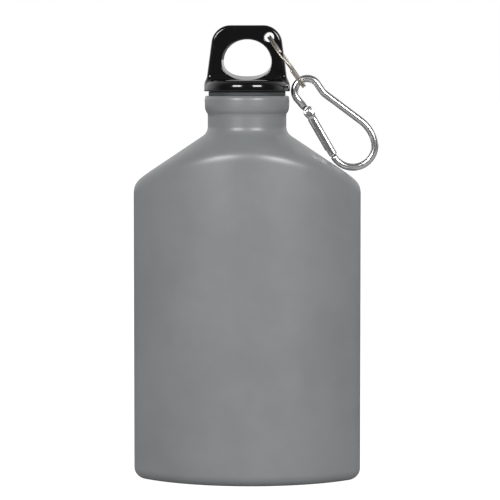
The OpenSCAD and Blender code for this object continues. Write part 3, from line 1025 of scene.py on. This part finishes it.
def rod_path(s):
    """The rod's middle line, from the hinge round the small bend, the spine and the large bend."""
    spine, leave, wide, nose_end = 13.0, -5.8, 69.0, -99.0
    spine_out = 10.7 * MM
    normal = heading(90 + spine)
    large = Vector((s.span, 0.0))
    wide_r = s.large_r + (spine_out - s.large_r) / (1 - math.cos(math.radians(90 + spine - wide)))
    wide_centre = large - (wide_r - s.large_r) * heading(wide)
    left = s.small_r * heading(90 + leave)
    way = heading(leave)
    run = (large + spine_out * normal - left).dot(normal) / way.dot(normal)
    kink_r = 6 * MM
    kink = left + (run - kink_r * math.tan(math.radians((spine - leave) / 2))) * way
    kink_centre = kink + kink_r * heading(90 + leave)
    return (walk((0, 0), s.small_r, 270, 90 + leave)
            + walk(kink_centre, kink_r, leave - 90, spine - 90)
            + walk(wide_centre, wide_r, 90 + spine, wide)
            + walk(large, s.large_r, wide, nose_end)[1:])


def swept_rod(s):
    """Stations of the rod along its path, pressed flat at the hinge and at the nose."""
    path = rod_path(s)
    half_t = 0.75 * MM
    square, round_off = 5.0, 3.0
    stations = []

    def ahead_of(end, ahead, high, deep, power):
        """A station some way past (x, y, heading)."""
        x, y, way = end
        stations.append((x + ahead * math.cos(way), y + ahead * math.sin(way), way,
                         high, deep, power))

    def pressed(end, ahead, flat_r, swell):
        """A station between the pressed flat and the round rod."""
        ahead_of(end, ahead, flat_r + (s.rod_r - flat_r) * swell,
                 half_t + (s.rod_r - half_t) * swell, square - round_off * swell)

    # The tongue between the gate's cheeks, round about the rivet
    hinge = (*HINGE, math.pi)
    tongue_r, tongue_l, shoulder = s.rod_r - 0.2 * MM, 3.1 * MM, 0.5 * MM
    ahead_of(hinge, -tongue_r, 0.0, 0.0, 2.0)
    for i in range(1, 9):
        a = math.radians(90 * i / 8)
        ahead_of(hinge, -tongue_r * math.cos(a), tongue_r * math.sin(a),
                 half_t * min(1.0, 0.7 + 0.3 * math.sin(a)), square)
    ahead_of(hinge, tongue_l - shoulder, tongue_r, half_t, square)
    for i in range(1, 7):
        t = i / 6
        pressed(hinge, tongue_l - shoulder * (1 - t) ** 2, tongue_r, math.sin(math.pi * t / 2))
    stations += [(*place, s.rod_r, s.rod_r, 2.0) for place in path]
    # The nose, which the closed gate stops against
    nose_l, nose_r, step_l = 2.1 * MM, 1.1 * MM, 0.45 * MM
    for i in range(1, 7):
        t = i / 6
        pressed(path[-1], step_l * t * t, nose_r, math.cos(math.pi * t / 2))
    for i in range(9):
        a = math.radians(90 * i / 8)
        ahead_of(path[-1], nose_l - nose_r + nose_r * math.sin(a), nose_r * math.cos(a),
                 half_t * (0.7 + 0.3 * math.cos(a)) if i < 8 else 0.0, square)
    return stations


def swept(name, stations, material, sides=40):
    """Skins stations (x, y, heading, half height, half depth, squareness) in the carabiner's plane."""
    points = []
    for x, y, way, high, deep, power in stations:
        for k in range(sides):
            a = 2 * math.pi * k / sides
            c, n = math.cos(a), math.sin(a)
            out = high * math.copysign(abs(c) ** (2 / power), c)
            points.append((x - out * math.sin(way), y + out * math.cos(way),
                           deep * math.copysign(abs(n) ** (2 / power), n)))
    faces = [(sides * i + k, sides * i + (k + 1) % sides,
              sides * (i + 1) + (k + 1) % sides, sides * (i + 1) + k)
             for i in range(len(stations) - 1) for k in range(sides)]
    return new_piece(name, points, faces, material)


class FLASK_OT_carabiner(bpy.types.Operator):
    """Builds the carabiner's bent rod and the rivet that its gate turns on"""
    bl_idname = "flask.carabiner"
    bl_label = "Carabiner"

    def execute(self, context):
        s = context.scene.flask_carabiner
        metal = tumbled_finish("tumbled_aluminium", s.metal)
        rod = swept("carabiner_rod", swept_rod(s), metal)
        sewn(moved(rod, lambda points: hung(s, points)))
        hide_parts("carabiner_frame")
        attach(rod, "carabiner")
        pin_r, head_r, head_t, rim_t = 0.8 * MM, 1.3 * MM, 0.45 * MM, 0.12 * MM
        under = s.gate_t / 2 + 0.05 * MM
        dome = [(head_r * math.cos(a), under + rim_t + (head_t - rim_t) * math.sin(a))
                for a in (math.radians(90 * i / 8) for i in range(8))]
        half = [(pin_r, under), (head_r, under)] + dome + [(0.0, under + head_t)]
        outline = [(r, -z) for r, z in reversed(half)] + half
        rivet = lathe("hinge_rivet", outline, steel_finish(s.steel), 48)
        moved(rivet, lambda points: hung(s, points + (*HINGE, 0.0)))
        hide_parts("gate_rivet")
        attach(rivet, "carabiner")
        return {"FINISHED"}


def gate_turn(s):
    """Angle of the closed gate in the carabiner's plane, tangent to the large bend."""
    run, rise = s.span - HINGE[0], -HINGE[1]
    return math.atan2(rise, run) - math.asin(s.large_r / math.hypot(run, rise))


def on_gate(s, points):
    """Points (along the gate, across it, through it), put where the closed gate hangs."""
    a = gate_turn(s)
    x, y, z = np.asarray(points, float).T
    return hung(s, np.stack([HINGE[0] + x * math.cos(a) - y * math.sin(a),
                             HINGE[1] + x * math.sin(a) + y * math.cos(a), z], 1))


def gate_field(s):
    """The gate's distance field: a folded channel with round cheeks about its rivet."""
    half_w, half_t, sheet = s.gate_w / 2, s.gate_t / 2, 0.7 * MM
    head_r, head_rise, bore_r = 2.45 * MM, 0.35 * MM, 0.85 * MM
    head_edge, bar_edge, nose_edge, inner_edge = 0.5 * MM, 1.6 * MM, 0.5 * MM, 0.15 * MM
    open_to, open_from = 3.0 * MM, s.gate_l - 3.4 * MM

    def field(x, y, z):
        deep = np.abs(z) - half_t
        head = meet(np.hypot(x, y - head_rise) - head_r, deep, head_edge)
        bar = meet(np.abs(y) - half_w, deep, bar_edge)
        bar = meet(bar, -x, 0.3 * MM)
        bar = meet(bar, x - s.gate_l, nose_edge)
        solid = merge(head, bar, 1.2 * MM)
        webs = np.abs(y) - (half_w - sheet)
        hinge_end = x - open_to
        nose_end = np.maximum(open_from - x, y - (half_w - sheet))
        space = np.minimum(np.minimum(webs, hinge_end), nose_end)
        slot = meet(np.abs(z) - (half_t - sheet), space, inner_edge)
        solid = meet(solid, -slot, inner_edge)
        return meet(solid, bore_r - np.hypot(x, y), 0.05 * MM)
    return field


class FLASK_OT_gate(bpy.types.Operator):
    """Builds the carabiner's gate with its spring and plunger"""
    bl_idname = "flask.gate"
    bl_label = "Sprung gate"

    def execute(self, context):
        s = context.scene.flask_carabiner
        room, cell = 0.4 * MM, 0.15 * MM
        low = (-2.5 * MM - room, -s.gate_w / 2 - room, -s.gate_t / 2 - room)
        high = (s.gate_l + room, 2.9 * MM + room, s.gate_t / 2 + room)
        points, faces, normals = skin(gate_field(s), low, high, cell)
        metal = tumbled_finish("folded_aluminium", s.metal)
        gate = new_piece("folded_gate", on_gate(s, points), faces, metal,
                         on_gate(s, normals) - on_gate(s, [(0, 0, 0)]))
        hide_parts("carabiner_gate")
        steel = steel_finish(s.steel)
        wire, coil_r, coils = 0.4 * MM, 0.55 * MM, 8
        spring_at, spring_l = 5.2 * MM, 7.6 * MM
        spring = wound("gate_coil_spring", {
            "Points": coils * 28, "Radius": coil_r, "Sweep": 2 * math.pi * coils,
            "Rise": spring_l, "Width": wire, "Thickness": wire, "Round": wire * 0.49,
            "Foot": wire}, steel)
        moved(spring, lambda points: on_gate(s, points[:, (2, 0, 1)] + (spring_at, 0.0, 0.0)))
        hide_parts("gate_spring")
        pin_r, pin_l = 0.8 * MM, 3.2 * MM
        pin_at = s.rod_r + 0.1 * MM
        plunger = lathe("gate_plunger", rounded_outline([
            (0.0, 0.0, 0.0), (pin_r, 0.0, 0.35 * MM), (pin_r, pin_l, 0.15 * MM),
            (0.0, pin_l, 0.0)]), steel, 32)
        moved(plunger, lambda points: on_gate(s, points[:, (2, 0, 1)] + (pin_at, 0.0, 0.0)))
        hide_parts("spring_plunger")
        for piece in (gate, spring, plunger):
            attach(piece, "gate")
        return {"FINISHED"}


# ---- Stage ----

def add_camera(s):
    """The camera, turned to look at a point just beside the flask's axis."""
    lens = bpy.data.cameras.new("camera")
    lens.lens = s.lens
    lens.sensor_width = 36.0
    lens.clip_start = 0.01
    camera = bpy.data.objects.new("camera", lens)
    away = Vector((math.sin(s.azimuth), -math.cos(s.azimuth), 0.0))
    right = Vector((-away.y, away.x, 0.0))
    aim = Vector((0.0, 0.0, s.aim_z)) + right * s.aim_side
    camera.location = away * s.distance + Vector((0.0, 0.0, s.height))
    camera.rotation_euler = (aim - camera.location).to_track_quat("-Z", "Y").to_euler()
    bpy.context.scene.collection.objects.link(camera)
    bpy.context.scene.camera = camera


def add_softbox(s, name, side):
    """An area light to the left (-1) or the right (1) of the camera, turned to the shoulder."""
    lamp = bpy.data.lights.new(name, "AREA")
    lamp.shape = "RECTANGLE"
    lamp.size, lamp.size_y = s.box_width, s.box_height
    lamp.energy = s.softbox
    box = bpy.data.objects.new(name, lamp)
    shoulder = Vector((0.0, 0.0, 0.13))
    azimuth = s.azimuth + side * s.box_turn
    level = math.cos(s.box_rise) * s.box_away
    box.location = shoulder + Vector((math.sin(azimuth) * level, -math.cos(azimuth) * level,
                                      math.sin(s.box_rise) * s.box_away))
    box.rotation_euler = (shoulder - box.location).to_track_quat("-Z", "Y").to_euler()
    bpy.context.scene.collection.objects.link(box)


def add_surround(s):
    """A surround that lights from behind, less from overhead and hardly from the front.

    The camera itself sees it plain white.
    """
    world = bpy.data.worlds.new("white_surround")
    bpy.context.scene.world = world
    world.use_nodes = True
    world.node_tree.nodes.clear()
    g = Graph(world.node_tree)
    way = g.node("ShaderNodeSeparateXYZ", None, {0: g.node("ShaderNodeTexCoord").out("Generated")})
    behind = g.eased(way.out("Y"), -0.35, 0.60)
    above = g.eased(way.out("Z"), 0.28, 0.78)
    front_light, back_light, top_loss = 0.06, 0.9, 0.6
    lit = (front_light + behind * (back_light - above * top_loss)) * s.surround
    seen = g.node("ShaderNodeLightPath").out("Is Camera Ray")
    strength = lit + (1.0 - lit) * seen
    light = g.node("ShaderNodeBackground", None,
                   {"Color": (1.0, 1.0, 1.0, 1.0), "Strength": strength})
    g.node("ShaderNodeOutputWorld", None, {"Surface": light})


def add_floor():
    """A wide plain floor that glows nearly white, but only where the camera sees it."""
    f = Finish("pale_floor")
    seen = f.node("ShaderNodeLightPath").out("Is Camera Ray")
    floor_material = f.shade({
        "Base Color": (0.5, 0.5, 0.5, 1.0), "Roughness": 0.8,
        "Emission Color": f.tint(seen, (0.0, 0.0, 0.0), (1.0, 1.0, 1.0)),
        "Emission Strength": 0.93})
    reach, front = 40.0, -0.5
    corners = [(-reach, front, 0), (reach, front, 0), (reach, reach, 0), (-reach, reach, 0)]
    new_piece("floor", corners, [(0, 1, 2, 3)], floor_material)


class FLASK_OT_stage(bpy.types.Operator):
    """Lays the pale floor and sets up the lights and the camera"""
    bl_idname = "flask.stage"
    bl_label = "Stage"

    def execute(self, context):
        s = context.scene.flask_stage
        add_camera(s)
        add_floor()
        add_surround(s)
        add_softbox(s, "softbox_left", -1)
        add_softbox(s, "softbox_right", 1)
        context.scene.view_settings.view_transform = "Standard"
        return {"FINISHED"}


# ---- Panel and registration ----

GROUPS = {"flask_shell": ShellSettings, "flask_stopper": StopperSettings,
          "flask_thread": ThreadSettings, "flask_ring": RingSettings,
          "flask_carabiner": CarabinerSettings, "flask_stage": StageSettings}


class FLASK_PT_panel(bpy.types.Panel):
    """Lists the flask's settings and its building steps"""
    bl_idname = "FLASK_PT_panel"
    bl_label = "Drinking Flask"
    bl_space_type = "VIEW_3D"
    bl_region_type = "UI"
    bl_category = "Flask"

    def draw(self, context):
        for name, group in GROUPS.items():
            box = self.layout.box()
            settings = getattr(context.scene, name)
            for key in group.__annotations__:
                box.prop(settings, key)
        for kind in OPERATORS:
            self.layout.operator(kind.bl_idname)


OPERATORS = (FLASK_OT_stage, FLASK_OT_shell, FLASK_OT_thread_ring, FLASK_OT_washer,
             FLASK_OT_plug, FLASK_OT_cap, FLASK_OT_split_ring, FLASK_OT_carabiner,
             FLASK_OT_gate)


def register():
    for name, group in GROUPS.items():
        bpy.utils.register_class(group)
        setattr(bpy.types.Scene, name, PointerProperty(type=group))
    for kind in (*OPERATORS, FLASK_PT_panel):
        bpy.utils.register_class(kind)


def unregister():
    for kind in reversed((*OPERATORS, FLASK_PT_panel)):
        bpy.utils.unregister_class(kind)
    for name, group in GROUPS.items():
        delattr(bpy.types.Scene, name)
        bpy.utils.unregister_class(group)


def main():
    register()
    for kind in OPERATORS:
        getattr(bpy.ops.flask, kind.bl_idname.split(".")[1])()


if __name__ == "__main__":
    main()
